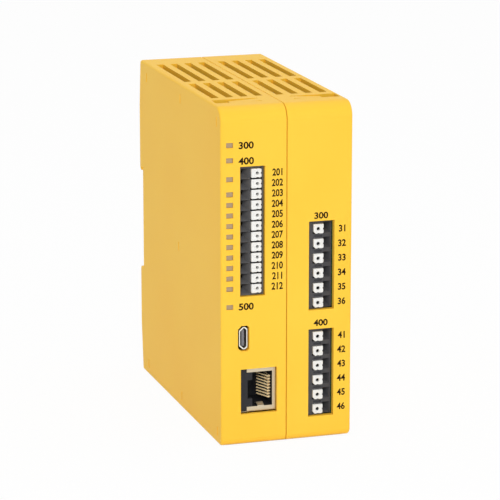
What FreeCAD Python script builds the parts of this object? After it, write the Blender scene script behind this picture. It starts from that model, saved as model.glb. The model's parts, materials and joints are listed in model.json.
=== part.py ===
"""Safety relay that clips on a 35 mm rail. Millimetres.

X runs across the front, Y from the front (-) to the rail side (+), Z up.
The origin is the middle of the footprint, on the plane that the housing stands on.
"""
import FreeCAD, Part
import math
import os

V = FreeCAD.Vector

# Housing: two half shells that meet on the plane X = 0.
width = 45.0
height = 113.4
depth = 99.8
side_wall = 1.6
rim_wall = 2.0
seam_gap = 0.25
seam_chamfer = 0.15
side_edge_radius = 0.8
top_front_radius = 5.0
bottom_front_radius = 2.5
back_edge_radius = 1.2
top_lean = 1.6
top_lean_height = 16.5
bottom_lean = 2.0
bottom_lean_height = 17.5
tongue_length = 1.2
tongue_root = 1.5
tongue_play = 0.12
window_play = 0.2

# Ventilation slots, the same in the roof and in the floor of each half shell.
vent_width = 2.5
vent_pitch = 5.0
vents_per_row = 4
vent_front_margin = 18.7
vent_front_length = 27.5
vent_bar = 4.3
vent_back_margin = 13.8
vent_seam_margin = 2.4

# Roof notch with a sloping finger tab, for lifting the front edge of a half shell.
notch_margin = 1.3
notch_width = 5.4
notch_start = 9.5
notch_length = 5.5
tab_length = 10.3
tab_dip = 0.4
tab_slit = 0.8

# Blind slots on the outside of the side walls, where the catches were cored.
core_slot_width = 0.7
core_slot_length = 3.2
core_slot_depth = 0.5
core_slot_margin = 4.1
core_slot_front = 4.7
core_slot_middle = 47.0
core_slot_back_margin = 10.0

# Catches: arms on the left shell that hook behind ledges in the right shell.
catch_front = 7.0
catch_back_margin = 10.2
catch_width = 3.6
catch_root = 8.0
catch_reach = 7.0
catch_thickness = 1.4
catch_hook = 1.3
ledge_start = 2.6
ledge_height = 1.0
catch_play = 0.15

# Recess for the rail, its upper hook and its lower lip.
rail_height = 35.0
rail_flange = 1.0
recess_depth = 4.4
recess_bottom = 38.5
recess_height = 35.3
hook_slot_rise = 1.3
hook_slot_width = 1.5
lip_chamfer = 1.6
recess_backing = 4.5

# Sprung latch that holds the rail's lower edge.
latch_width = 13.6
latch_thickness = 2.9
latch_play = 0.15
latch_flange_width = 1.35
latch_flange_thickness = 1.1
latch_flange_margin = 2.4
latch_travel = 3.0
latch_foot = 3.6
latch_overlap = 1.3
latch_tip = 0.9
channel_wall = 2.0
tool_slot_width = 5.0
tool_slot_height = 2.4
tool_slot_margin = 2.0
spring_width = 6.8
spring_height = 8.0
spring_depth = 1.8
spring_strip = 0.45
spring_runs = 4
spring_seat_height = 16.0
spring_ledge = 1.8
spring_window_margin = 0.8

# Circuit boards, standing along the side walls on stakes of the shells.
board_thickness = 1.6
logic_board_edge = 4.7
relay_board_edge = 4.5
board_front = 2.6
board_back_margin = 8.3
board_bottom = 4.5
board_top_margin = 4.4
board_corner_radius = 1.0
stake_radius = 1.2
stake_base_radius = 2.6
stake_play = 0.05
stake_proud = 0.8
stake_inset = 2.5
stake_front = 30.0
stake_back_inset = 5.5

# Pluggable terminals: what the two kinds share, counted from the front.
plug_face = 1.4
collar_start = 8.0
plug_back = 17.0
shroud_wall = 0.6
plug_fit = 0.15
header_back = 19.4
header_floor = 17.2
button_face = 0.8
button_cap = 1.8
button_travel = 1.2
button_play = 0.15
button_shank = 3.8
button_stem = 1.6
trough_floor = 3.95
trough_end_wall = 0.3
chamber_front = 7.4
chamber_back = 14.2
collar_wall = 0.15
chamber_margin = 0.9
entry_depth = 2.8
probe_countersink = 0.15
cap_fillet = 0.15
finger_notch = 0.8
side_notch = 0.4
pin_size = 1.0
pin_hole_play = 0.15
pin_tip = 11.4
pin_bend = 21.2
pin_proud = 0.8
sheet = 0.3

# Status lights: fourteen light pipes moulded as one bar, over lamps on the logic board.
lamp_column = 3.0
lamp_width = 2.35
lamp_height = 1.7
lamp_rises = (9.8, 4.8, -1.4)
lamp_row_drop = 6.4
lamps_in_row = 10
lamp_drop_below = 3.4
lamp_play = 0.06
lamp_recess = 0.35
guide_start = 2.3
guide_bar = 2.4
guide_end = 6.6
lamp_die = 1.9
lamp_gap = 0.2

# The front wall is thinner round the two ports, by pockets in its inner side.
port_wall = 1.4
port_pocket_margin = 0.6

# Network jack on the logic board, lying on its side.
jack_middle = 18.5
jack_width = 14.9
jack_height = 12.9
jack_length = 19.5
jack_face = 1.75
jack_window_drop = 0.2
jack_window_edge = 6.74
jack_window_width = 12.5
jack_window_height = 15.4
jack_shield = 0.25
jack_shield_round = 0.5
jack_port_width = 11.8
jack_port_height = 6.8
jack_port_depth = 12.5
jack_key_width = 6.3
jack_key_height = 1.6
jack_key_depth = 9.0
jack_roof = 1.2
jack_rim_reach = 1.95
jack_contacts = 8
jack_contact_pitch = 1.02
jack_contact_radius = 0.23
jack_contact_bend = 0.5
jack_contact_play = 0.05
jack_contact_start = 1.5
jack_contact_run = 5.8
jack_contact_drop = 2.9
finger_width = 2.2
finger_inset = 2.85
finger_length = 2.8
finger_rise = 0.75

# Micro-USB receptacle on the logic board.
usb_drop = 1.85
usb_shell_height = 2.8
usb_shell_width = 7.5
usb_narrow_rise = 1.25
usb_narrow_run = 1.15
usb_wide_rise = 0.75
usb_wide_run = 0.65
usb_bend_radius = 0.2
usb_sheet = 0.3
usb_face = 0.5
usb_length = 5.2
usb_window_margin = 0.55
usb_tongue_thickness = 0.85
usb_tongue_width = 5.4
usb_tongue_start = 0.6
usb_base_length = 1.2

# Relays, stacked on the relay board.
relay_count = 4
relay_length = 40.0
relay_width = 13.0
relay_height = 23.5
relay_gap = 2.0
relay_front = 27.0
relay_bottom = 27.0
relay_edge_radius = 1.0
relay_pin_radius = 0.45
relay_pin_proud = 0.9
relay_pin_columns = 4
relay_pin_inset = 4.0
relay_pin_margin = 2.5

# Connector pair between the two boards.
link_front = 72.0
link_width = 8.0
link_bottom = 33.0
link_length = 46.0
link_overlap = 3.0
link_wall = 1.2
link_play = 0.1

# Parts on the logic board.
processor_size = 12.0
processor_height = 1.6
processor_front = 34.0
processor_heights = (64.0, 40.0)
transceiver_size = 8.0
transceiver_front = 28.0
transceiver_bottom = 14.0
isolator_length = 4.6
isolator_width = 2.6
isolator_height = 2.0
isolator_front = 25.0
chip_chamfer = 0.3
capacitor_radius = 4.0
capacitor_height = 10.5
capacitor_base = 1.2
capacitor_front = 36.0
capacitor_pitch = 11.0
capacitor_count = 3
capacitor_top_margin = 15.0

# Planes and edges worked out from the sizes above.
front = -depth / 2
back = depth / 2
left = -width / 2
right = width / 2
recess_floor = back - recess_depth
recess_top = recess_bottom + recess_height
channel_floor = recess_floor + rail_flange - latch_play
channel_half = latch_width / 2 + latch_play
groove_half = channel_half + latch_flange_width
latch_front = channel_floor + latch_play
latch_back = latch_front + latch_thickness
rail_lower_edge = recess_top + hook_slot_rise - rail_height
latch_top = rail_lower_edge + latch_overlap
logic_outer = left + logic_board_edge
logic_face = logic_outer + board_thickness
relay_outer = right - relay_board_edge
relay_face = relay_outer - board_thickness
board_top = height - board_top_margin
board_back = depth - board_back_margin
stake_places = (stake_front, board_back - stake_back_inset)
vent_back_start = vent_front_margin + vent_front_length + vent_bar
vent_back_length = depth - vent_back_margin - vent_back_start
vent_rows = ((vent_front_margin, vent_front_length), (vent_back_start, vent_back_length))
catch_places = (catch_front, vent_back_start - vent_bar / 2, depth - catch_back_margin)
core_slot_places = (core_slot_front, core_slot_middle, depth - core_slot_back_margin)


class Terminals:
    """One pluggable terminal block. u counts from its wire side towards its far side."""

    def __init__(self, name, poles, pitch, first_height, end_walls, wire_edge, inward,
                 board_face, board_outer, plug_width, wire_step, chamber_half, entry, throat,
                 outlet, button, probe, rib_slot):
        self.name = name
        self.poles = poles
        self.pitch = pitch
        self.rows = [first_height - pitch * k for k in range(poles)]
        self.high = self.rows[0] + pitch / 2 + end_walls[0]
        self.low = self.rows[-1] - pitch / 2 - end_walls[1]
        self.chamber_half = chamber_half
        self.collar_high = self.rows[0] + chamber_half + collar_wall
        self.collar_low = self.rows[-1] - chamber_half - collar_wall
        self.wire_edge = wire_edge
        self.inward = inward
        self.board_face = board_face
        self.board_outer = board_outer
        self.width = plug_width
        self.wire_step = wire_step
        self.entry = entry
        self.throat = throat
        self.outlet = outlet
        self.button_u, self.button_width, self.button_height = button
        self.probe_shift, self.probe_radius, self.probe_depth = probe
        self.rib_slot_width, self.rib_slot_height = rib_slot
        self.pin_u = plug_width / 2

    def at(self, u):
        """The X of a place u millimetres in from the wire side."""
        return self.wire_edge + self.inward * u

    def box(self, u0, u1, y0, y1, z0, z1):
        """A box between two distances from the wire side and two from the front."""
        return box(*sorted((self.at(u0), self.at(u1))), front + y0, front + y1, z0, z1)


# Each kind of terminal: its own pitch, wire entries and buttons.
signal_pitch = 3.5
signal_poles = 12
signal_top_margin = 22.0
signal_edge = 6.72
signal_width = 8.15
signal_end_walls = (0.6, 0.35)
signal_chamber_half = 1.35
signal_entry = (1.975, 0, 3.15, 3.4)
signal_throat = (1.15, 0.4, 1.2, 1.5)
signal_outlet = (1.95, 0, 1.4, 1.6)
signal_button = (5.63, 3.46, 3.0)
signal_button_rounds = (0.3, 0.5, 0.5, 0.2)
signal_probe = (0.35, 0.5, 1.4)
output_pitch = 5.0
output_poles = 6
upper_first = 71.4
lower_first = 34.9
output_edge = 6.3
output_width = 8.4
output_end_walls = (0.15, -0.5)
output_chamber_half = 1.7
output_wire_step = 1.1
output_entry = (1.625, 0, 2.45, 3.6)
output_throat = (2.275, 0.5, 1.15, 1.9)
output_outlet = (2.05, 0, 1.4, 2.4)
output_button = (4.97, 3.46, 3.2)
output_button_rounds = (0.2, 0.5, 0.2, 0.2)
output_button_cut = 0.7
output_probe = (-0.1, 0.58, 3.2)
output_rib_slot = (2.8, 0.6)
rib_slot_depth = 0.5

signal_terminals = Terminals(
    "signal", signal_poles, signal_pitch, height - signal_top_margin, signal_end_walls,
    left + signal_edge, 1, logic_face, logic_outer, signal_width, 0, signal_chamber_half,
    signal_entry, signal_throat, signal_outlet, signal_button, signal_probe, (0, 0))
output_terminals = [
    Terminals(name, output_poles, output_pitch, first, output_end_walls, right - output_edge,
              -1, relay_face, relay_outer, output_width, output_wire_step, output_chamber_half,
              output_entry, output_throat, output_outlet, output_button, output_probe,
              output_rib_slot)
    for name, first in (("upper", upper_first), ("lower", lower_first))
]
all_terminals = [signal_terminals] + output_terminals

# Places that follow the 12-pole plug: the lights beside it and the port under it.
first_row = signal_terminals.rows[0]
lamp_heights = (
    [first_row + rise for rise in lamp_rises]
    + [first_row - lamp_row_drop - signal_pitch * k for k in range(lamps_in_row)]
    + [signal_terminals.low - lamp_drop_below]
)
usb_middle = (jack_middle + jack_width / 2 + signal_terminals.low) / 2 - usb_drop


def box(x0, x1, y0, y1, z0, z1):
    """A box between two corners."""
    return Part.makeBox(x1 - x0, y1 - y0, z1 - z0, V(x0, y0, z0))


def rounded_face(corners, spot):
    """A flat face round corners (a, b, radius), where spot turns (a, b) into a point."""
    count = len(corners)
    turns = []
    for i, (a, b, radius) in enumerate(corners):
        here = V(a, b, 0)
        before = V(*corners[i - 1][:2], 0) - here
        after = V(*corners[(i + 1) % count][:2], 0) - here
        before.normalize()
        after.normalize()
        if radius == 0:
            turns.append([here])
            continue
        half = before.getAngle(after) / 2
        reach = radius / math.tan(half)
        inward = (before + after).normalize()
        middle = here + inward * (radius / math.sin(half) - radius)
        turns.append([here + before * reach, middle, here + after * reach])
    edges = []
    for i, turn in enumerate(turns):
        if len(turn) == 3:
            edges.append(Part.Arc(*[spot(p.x, p.y) for p in turn]).toShape())
        start = turn[-1]
        end = turns[(i + 1) % count][0]
        if start.distanceToPoint(end) > 1e-6:
            edges.append(Part.LineSegment(spot(start.x, start.y), spot(end.x, end.y)).toShape())
    return Part.Face(Part.Wire(edges))


def prism_x(corners, x0, x1):
    """An outline in Y and Z, drawn out along X."""
    return rounded_face(corners, lambda y, z: V(x0, y, z)).extrude(V(x1 - x0, 0, 0))


def prism_y(corners, y0, y1):
    """An outline in X and Z, drawn out along Y."""
    return rounded_face(corners, lambda x, z: V(x, y0, z)).extrude(V(0, y1 - y0, 0))


def prism_z(corners, z0, z1):
    """An outline in X and Y, drawn out along Z."""
    return rounded_face(corners, lambda x, y: V(x, y, z0)).extrude(V(0, 0, z1 - z0))


def rectangle(a0, a1, b0, b1, radius):
    """The corners of a rectangle, all with one radius."""
    return [(a0, b0, radius), (a1, b0, radius), (a1, b1, radius), (a0, b1, radius)]


def strip(points, thickness, z0, z1):
    """Sheet bent along a path in X and Y, with mitred bends, drawn out along Z."""
    sides = []
    for sign in (1, -1):
        line = []
        for i, point in enumerate(points):
            before = (V(*point, 0) - V(*points[i - 1], 0)) if i else None
            after = (V(*points[i + 1], 0) - V(*point, 0)) if i + 1 < len(points) else None
            before, after = before or after, after or before
            before.normalize()
            after.normalize()
            normal = V(-before.y - after.y, before.x + after.x, 0).normalize()
            square = V(-before.y, before.x, 0)
            reach = sign * thickness / 2 / normal.dot(square)
            line.append((point[0] + normal.x * reach, point[1] + normal.y * reach, 0))
        sides.append(line)
    return prism_z(sides[0] + sides[1][::-1], z0, z1)


def joined(shapes):
    """One solid from pieces that meet or cross."""
    return shapes[0].multiFuse(shapes[1:]).removeSplitter()


def housing_outline():
    """The side view of the closed housing, without the rail recess."""
    return [
        (front, 0, bottom_front_radius),
        (front, height, top_front_radius),
        (back - top_lean, height, back_edge_radius),
        (back, height - top_lean_height, 0),
        (back, bottom_lean_height, 0),
        (back - bottom_lean, 0, back_edge_radius),
    ]


def cavity_outline(grow):
    """The side view of the space inside, pushed out by grow on every side."""
    near = front + rim_wall - grow
    far = back - rim_wall + grow
    rail_far = recess_floor - rim_wall + grow
    low = rim_wall - grow
    high = height - rim_wall + grow
    step_low = recess_bottom - recess_backing + grow
    step_high = recess_top + recess_backing - grow
    return [
        (near, low, bottom_front_radius - rim_wall + grow),
        (near, high, top_front_radius - rim_wall + grow),
        (far - top_lean, high, 0),
        (far, height - top_lean_height, 0),
        (far, step_high, 0),
        (rail_far, step_high, 0),
        (rail_far, step_low, 0),
        (far, step_low, 0),
        (far, bottom_lean_height, 0),
        (far - bottom_lean, low, 0),
    ]


def rail_recess():
    """What the rail's recess takes away, with the slot behind the upper hook."""
    outside = back + 1
    lip = lip_chamfer
    return prism_x([
        (recess_floor, recess_bottom, 0.5),
        (recess_floor, recess_top + hook_slot_rise, 0.3),
        (recess_floor + hook_slot_width, recess_top + hook_slot_rise, 0.3),
        (recess_floor + hook_slot_width, recess_top, 0.2),
        (back - lip, recess_top, lip / 2),
        (outside, recess_top + lip + 1, 0),
        (outside, recess_bottom - lip - 1, 0),
        (back - lip, recess_bottom, lip / 2),
    ], left - 1, right + 1)


def latch_channel():
    """The space that the latch slides in, with the ledge that its spring stands on."""
    slot = box(-channel_half, channel_half, channel_floor, back + 1, -1, recess_bottom + 1)
    groove_top = recess_bottom - recess_backing
    groove_back = channel_floor + latch_flange_thickness + 2 * latch_play
    groove = box(-groove_half, groove_half, channel_floor, groove_back,
                 latch_flange_margin, groove_top)
    ledge_half = spring_width / 2
    ledge = box(-ledge_half, ledge_half, channel_floor - 1, channel_floor + latch_thickness,
                spring_seat_height - spring_ledge, spring_seat_height)
    return slot.fuse(groove).cut(ledge)


def latch_backing(x0, x1):
    """The thick wall round the latch channel."""
    half = groove_half + channel_wall
    block = box(max(x0, -half), min(x1, half), channel_floor - channel_wall, back,
                0, recess_bottom - recess_backing + 1)
    return block.common(prism_x(housing_outline(), x0, x1))


def vents(side):
    """The slots of one half shell, through the roof and the floor."""
    slots = []
    for start, length in vent_rows:
        for k in range(vents_per_row):
            x = side * (vent_seam_margin + vent_pitch * k)
            x0, x1 = sorted((x, x + side * vent_width))
            for z0 in (-1, height - rim_wall - 1):
                slots.append(box(x0, x1, front + start, front + start + length,
                                 z0, z0 + rim_wall + 2))
    return slots


def roof_notch(side):
    """The window by the side wall, and the slope and slits of the tab beside it."""
    outer = side * (width / 2 - notch_margin)
    inner = outer - side * notch_width
    y0 = front + notch_start
    y1 = y0 + notch_length
    window = box(*sorted((outer, inner)), y0, y1, height - rim_wall - 1, height + 1)
    tab_root = inner - side * tab_length
    slope = Part.Face(Part.makePolygon([
        V(inner + side * 0.5, y0, height + 1), V(inner + side * 0.5, y0, height - tab_dip),
        V(inner, y0, height - tab_dip), V(tab_root, y0, height),
        V(tab_root, y0, height + 1), V(inner + side * 0.5, y0, height + 1),
    ])).extrude(V(0, notch_length, 0))
    slits = [
        box(*sorted((inner + side * 0.5, tab_root)), y, y + tab_slit,
            height - rim_wall - 1, height + 1)
        for y in (y0, y1 - tab_slit)
    ]
    return [window, slope] + slits


def core_slots(side):
    """The blind slots in the outside of a side wall."""
    face = side * width / 2
    x0, x1 = sorted((face + side, face - side * core_slot_depth))
    low = core_slot_margin - core_slot_length / 2
    high = height - core_slot_margin - core_slot_length / 2 - 1
    middle = height / 2 - core_slot_length / 2
    places = [(y, z) for y in core_slot_places for z in (low, high)]
    places.append((depth / 2, middle))
    return [
        box(x0, x1, front + y - core_slot_width / 2, front + y + core_slot_width / 2,
            z, z + core_slot_length)
        for y, z in places
    ]


def plug_window(terminals):
    """The window in the front wall that a plug passes through."""
    play = window_play
    return terminals.box(-play, terminals.width + play, -1, rim_wall + 1,
                         terminals.low - play, terminals.high + play)


def lamp_windows():
    """The holes for the ends of the light pipes."""
    x = left + lamp_column
    return [
        box(x - lamp_width / 2, x + lamp_width / 2, front - 1, front + rim_wall + 1,
            z - lamp_height / 2, z + lamp_height / 2)
        for z in lamp_heights
    ]


def usb_outline(grow):
    """The micro-USB shell's mouth, narrower towards the board, pushed out by grow."""
    x0 = logic_face - grow
    x1 = logic_face + usb_shell_height + grow
    half = usb_shell_width / 2 + grow
    r = usb_bend_radius
    upper = [
        (x0, half - usb_narrow_run, r), (x0 + usb_narrow_rise, half, r),
        (x1 - usb_wide_rise, half, r), (x1, half - usb_wide_run, r),
    ]
    return (
        [(x, usb_middle + z, radius) for x, z, radius in upper]
        + [(x, usb_middle - z, radius) for x, z, radius in reversed(upper)]
    )


def port_windows():
    """The windows of the micro-USB receptacle and of the network jack, and its pocket."""
    x = left + jack_window_edge
    half = jack_window_height / 2
    middle = jack_middle - jack_window_drop
    jack = box(x, x + jack_window_width, front - 1, front + rim_wall + 1,
               middle - half, middle + half)
    grow = jack_shield + port_pocket_margin
    reach = jack_width / 2 + grow
    y0 = front + port_wall
    y1 = front + rim_wall + 1
    return [
        jack,
        box(logic_face - grow, logic_face + jack_height + grow, y0, y1,
            jack_middle - reach, jack_middle + reach),
        prism_y(usb_outline(usb_window_margin), front - 1, y1),
    ]


def stakes(side):
    """Bosses on a side wall that carry a board, each with a stake through it."""
    wall = side * (width / 2 - side_wall)
    seat = logic_outer if side < 0 else relay_outer
    far_face = logic_face if side < 0 else relay_face
    top = abs(wall - seat) + side_wall / 2
    toward = V(-side, 0, 0)
    pieces = []
    for y in stake_places:
        for z in (board_bottom + stake_inset, board_top - stake_inset):
            base = V(wall + side * side_wall / 2, front + y, z)
            pieces.append(Part.makeCylinder(stake_base_radius, top, base, toward))
            length = abs(wall - far_face) + side_wall / 2 + stake_proud
            pieces.append(Part.makeCylinder(stake_radius, length, base, toward))
    return pieces


def at_both_rims(x0, x1, y0, y1, inset0, inset1):
    """The same box under the roof and over the floor, between two distances from them."""
    return [
        box(x0, x1, y0, y1, height - inset1, height - inset0),
        box(x0, x1, y0, y1, inset0, inset1),
    ]


def catch_arms():
    """Arms of the left shell that reach across the seam, with hooks on their ends."""
    arms = []
    gap = ledge_height + catch_play
    for place in catch_places:
        y0 = front + place - catch_width / 2
        y1 = y0 + catch_width
        under = rim_wall + gap
        arms += at_both_rims(-catch_root, -seam_gap, y0, y1, rim_wall / 2, under + catch_thickness)
        arms += at_both_rims(-seam_gap, catch_reach, y0, y1, under, under + catch_thickness)
        arms += at_both_rims(catch_reach - catch_hook, catch_reach, y0, y1,
                             rim_wall + catch_play, under)
    return arms


def catch_ledges():
    """Ledges in the right shell that the hooks sit behind."""
    ledges = []
    for place in catch_places:
        y0 = front + place - catch_width / 2
        end = catch_reach - catch_hook - catch_play
        ledges += at_both_rims(ledge_start, end, y0, y0 + catch_width,
                               rim_wall / 2, rim_wall + ledge_height)
    return ledges


def half_shell(side):
    """One half of the housing: -1 is the left one, 1 the right one."""
    outer = side * width / 2
    seam = side * seam_gap / 2
    x0, x1 = sorted((outer, seam))
    shell = prism_x(housing_outline(), x0, x1)

    def rim(x):
        return [e for e in shell.Edges if all(abs(v.X - x) < 1e-6 for v in e.Vertexes)]

    shell = shell.makeFillet(side_edge_radius, rim(outer))
    shell = shell.makeChamfer(seam_chamfer, rim(seam))
    inner_wall = outer - side * side_wall
    cavity = prism_x(cavity_outline(0), *sorted((inner_wall, -side)))
    shell = shell.cut(cavity)
    shell = shell.fuse([latch_backing(x0, x1)] + stakes(side))
    cuts = [rail_recess(), latch_channel()] + vents(side) + roof_notch(side) + core_slots(side)
    if side < 0:
        cuts += [plug_window(signal_terminals)] + lamp_windows() + port_windows()
    else:
        cuts += [plug_window(t) for t in output_terminals]
    shell = shell.cut(cuts)
    if side < 0:
        shell = shell.fuse([seam_tongue()] + catch_arms())
    else:
        shell = shell.cut(seam_groove()).fuse(catch_ledges())
    return shell.removeSplitter()


def seam_tongue():
    """The lip on the left shell's rim that locates the right shell."""
    reach = -seam_gap / 2 + tongue_length
    lip = prism_x(cavity_outline(rim_wall / 2 - tongue_play), -tongue_root, reach)
    lip = lip.cut(prism_x(cavity_outline(0), -tongue_root - 1, reach + 1))
    return lip.cut([rail_recess(), latch_channel()])


def seam_groove():
    """The step in the right shell's rim that takes the lip."""
    return prism_x(cavity_outline(rim_wall / 2), -1, seam_gap / 2 + tongue_length + tongue_play)


def rail_latch():
    """The foot: a flanged slide with a hooked nose, a spring window and a tool slot."""
    half = latch_width / 2
    lean = bottom_lean * (bottom_lean_height - latch_foot) / bottom_lean_height
    nose = prism_x([
        (latch_front, latch_foot, 0.3),
        (latch_front, latch_top, 0.2),
        (latch_front + latch_tip, latch_top, 0.2),
        (latch_back, recess_bottom - 1, 0.5),
        (latch_back, bottom_lean_height, 0),
        (latch_back - lean, latch_foot, 0.3),
    ], -half, half)
    flange_half = half + latch_flange_width
    flange_low = latch_flange_margin + latch_travel + latch_play
    flange_high = recess_bottom - recess_backing - latch_play
    flange = box(-flange_half, flange_half, latch_front, latch_front + latch_flange_thickness,
                 flange_low, flange_high)
    window_half = spring_width / 2 + spring_window_margin
    window_low = spring_seat_height - spring_ledge - latch_play
    window = box(-window_half, window_half, latch_front - 1, latch_back + 1,
                 window_low, spring_seat_height + spring_height)
    slot_low = latch_foot + tool_slot_margin
    tool_slot = box(-tool_slot_width / 2, tool_slot_width / 2, latch_front - 1, latch_back + 1,
                    slot_low, slot_low + tool_slot_height)
    return joined([nose, flange]).cut([window, tool_slot])


def latch_spring():
    """A flat strip folded to and fro, which pushes the latch up from its ledge."""
    y0 = latch_front + (latch_thickness - spring_depth) / 2
    y1 = y0 + spring_depth
    step = (spring_height - spring_strip) / (spring_runs - 1)
    radius = step / 2
    half = spring_width / 2 - radius - spring_strip / 2
    pieces = []
    for k in range(spring_runs):
        z = spring_seat_height + step * k
        pieces.append(box(-half, half, y0, y1, z, z + spring_strip))
        if k + 1 < spring_runs:
            side = 1 if k % 2 == 0 else -1
            centre = V(side * half, y0, z + spring_strip / 2 + radius)
            ring = Part.makeCylinder(radius + spring_strip / 2, spring_depth, centre, V(0, 1, 0))
            ring = ring.cut(Part.makeCylinder(radius - spring_strip / 2, spring_depth, centre,
                                              V(0, 1, 0)))
            keep = box(*sorted((side * half, side * spring_width)), y0, y1,
                       z - 1, z + step + spring_strip + 1)
            pieces.append(ring.common(keep))
    return joined(pieces)


def board(x0, x1, holes):
    """A circuit board that stands along a side wall, with its stake holes and pin holes."""
    sheet_of_board = prism_x(rectangle(front + board_front, front + board_back, board_bottom,
                                       board_top, board_corner_radius), x0, x1)
    drills = [
        Part.makeCylinder(radius, x1 - x0 + 2, V(x0 - 1, y, z), V(1, 0, 0))
        for y, z, radius in holes
    ]
    for y in stake_places:
        for z in (board_bottom + stake_inset, board_top - stake_inset):
            drills.append(Part.makeCylinder(stake_radius + stake_play, x1 - x0 + 2,
                                            V(x0 - 1, front + y, z), V(1, 0, 0)))
    return sheet_of_board.cut(drills)


def pin_holes(terminals):
    """Where a header's pins go through their board."""
    radius = pin_size * 0.75
    return [(front + pin_bend - pin_size / 2, z, radius) for z in terminals.rows]


def relay_pin_places():
    """Where the relays' pins go through the relay board."""
    places = []
    step = (relay_length - 2 * relay_pin_inset) / (relay_pin_columns - 1)
    for k in range(relay_count):
        low = relay_bottom + k * (relay_width + relay_gap)
        for column in range(relay_pin_columns):
            y = front + relay_front + relay_pin_inset + step * column
            for z in (low + relay_pin_margin, low + relay_width - relay_pin_margin):
                places.append((y, z))
    return places


def plug_body(t):
    """The plug: a front block, a collar for the header, and a cell for each pole."""
    margin = shroud_wall + plug_fit
    body = t.box(0, t.width, plug_face, collar_start, t.low, t.high)
    collar = t.box(margin, t.width - margin, collar_start, plug_back,
                   t.collar_low, t.collar_high)
    body = joined([body, collar])
    cuts = []
    wire_face = plug_face + t.wire_step
    if t.wire_step:
        step_end = t.button_u - t.button_width / 2 - button_play / 2
        cuts.append(t.box(-1, step_end, plug_face - 1, wire_face, t.low - 1, t.high + 1))
    for z in t.rows:
        cuts += button_cell(t, z)
        cuts += wire_cell(t, z, wire_face)
        half = pin_size / 2 + pin_hole_play
        cuts.append(t.box(t.pin_u - half, t.pin_u + half, chamber_back - 1, plug_back + 1,
                          z - half, z + half))
    if t.rib_slot_width:
        cuts += rib_slots(t)
    return body.cut(cuts)


def rib_slots(t):
    """Shallow slots with round ends in the ribs between the buttons."""
    wide = t.rib_slot_width / 2
    tall = t.rib_slot_height / 2
    x = t.at(t.button_u)
    return [
        prism_y(rectangle(x - wide, x + wide, z - t.pitch / 2 - tall, z - t.pitch / 2 + tall,
                          0.9 * tall), front, front + plug_face + rib_slot_depth)
        for z in t.rows[:-1]
    ]


def button_cell(t, z):
    """The trough for a button's cap and the guide for its shank."""
    half = t.button_width / 2 + button_play
    tall = t.button_height / 2 + button_play
    if t.pitch - 2 * tall < 4 * button_play:
        tall = t.pitch / 2
    low = max(z - tall, t.low + trough_end_wall)
    high = min(z + tall, t.high - trough_end_wall)
    shank_half = shank_width(t) / 2 + button_play
    shank_tall = shank_height(t) / 2 + button_play
    u = t.button_u
    return [
        t.box(u - half, u + half, plug_face - 1, trough_floor, low, high),
        t.box(u - shank_half, u + shank_half, trough_floor - 1, chamber_front + 1,
              z - shank_tall, z + shank_tall),
    ]


def wire_cell(t, z, wire_face):
    """The funnel that leads a wire to its bar, and the chamber for spring and bar."""
    stations = (
        (wire_face, t.entry),
        (wire_face + entry_depth, t.throat),
        (chamber_front, t.outlet),
    )
    loops = []
    for y, (u, rise, wide, tall) in stations:
        corners = [(-1, -1), (1, -1), (1, 1), (-1, 1), (-1, -1)]
        loops.append(Part.makePolygon([
            V(t.at(u + a * wide / 2), front + y, z + rise + b * tall / 2) for a, b in corners
        ]))
    u, rise, wide, tall = t.outlet
    passage = t.box(u - wide / 2, u + wide / 2, chamber_front - 0.01, chamber_front + 1,
                    z + rise - tall / 2, z + rise + tall / 2)
    half = t.chamber_half
    chamber = t.box(chamber_margin, t.width - chamber_margin, chamber_front, chamber_back,
                    z - half, z + half)
    return [Part.makeLoft(loops, True, True), passage, chamber]


def shank_width(t):
    """The shank is a little narrower than the cap that it carries."""
    return t.button_width - 0.8


def shank_height(t):
    """The shank is a little lower than the cap that it carries."""
    return t.button_height - 0.7


def cap_corners(t, x, z):
    """The outline of a button's cap: four corners of different roundness, or one cut off."""
    wide = t.button_width / 2
    tall = t.button_height / 2
    if t is signal_terminals:
        low_left, low_right, high_right, high_left = signal_button_rounds
        start = [(x - wide, z - tall, low_left)]
    else:
        low_left, low_right, high_right, high_left = output_button_rounds
        start = [(x - wide, z - tall + output_button_cut, low_left),
                 (x - wide + output_button_cut, z - tall, low_left)]
    return start + [
        (x + wide, z - tall, low_right),
        (x + wide, z + tall, high_right),
        (x - wide, z + tall, high_left),
    ]


def button(t, z):
    """One release button: cap with a probe hole and finger notches, shank and stem."""
    x = t.at(t.button_u)
    wide = t.button_width / 2
    tall = t.button_height / 2
    y0 = front + button_face
    y1 = y0 + button_cap
    cap = prism_y(cap_corners(t, x, z), y0, y1)
    rim = [e for e in cap.Edges if all(abs(v.Y - y0) < 1e-6 for v in e.Vertexes)]
    cap = cap.makeFillet(cap_fillet, rim)
    y2 = y1 + button_shank
    shank = box(x - shank_width(t) / 2, x + shank_width(t) / 2, y1 - 0.2, y2,
                z - shank_height(t) / 2, z + shank_height(t) / 2)
    stem_half = shank_width(t) / 4
    stem = box(x - stem_half, x + stem_half, y2 - 0.2, y2 + button_stem,
               z - shank_height(t) / 3, z + shank_height(t) / 3)
    probe_x = x + t.probe_shift
    r = t.probe_radius
    wider = r + probe_countersink
    inward = V(0, 1, 0)
    cuts = [
        Part.makeCylinder(r, t.probe_depth, V(probe_x, y0, z), inward),
        Part.makeCone(wider, r, probe_countersink, V(probe_x, y0, z), inward),
        Part.makeCylinder(side_notch, button_cap, V(x + wide + side_notch / 3, y0, z), inward),
        Part.makeCylinder(finger_notch, button_cap,
                          V(probe_x, y0, z - tall - 0.75 * finger_notch), inward),
    ]
    return joined([cap, shank, stem]).cut(cuts)


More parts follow.
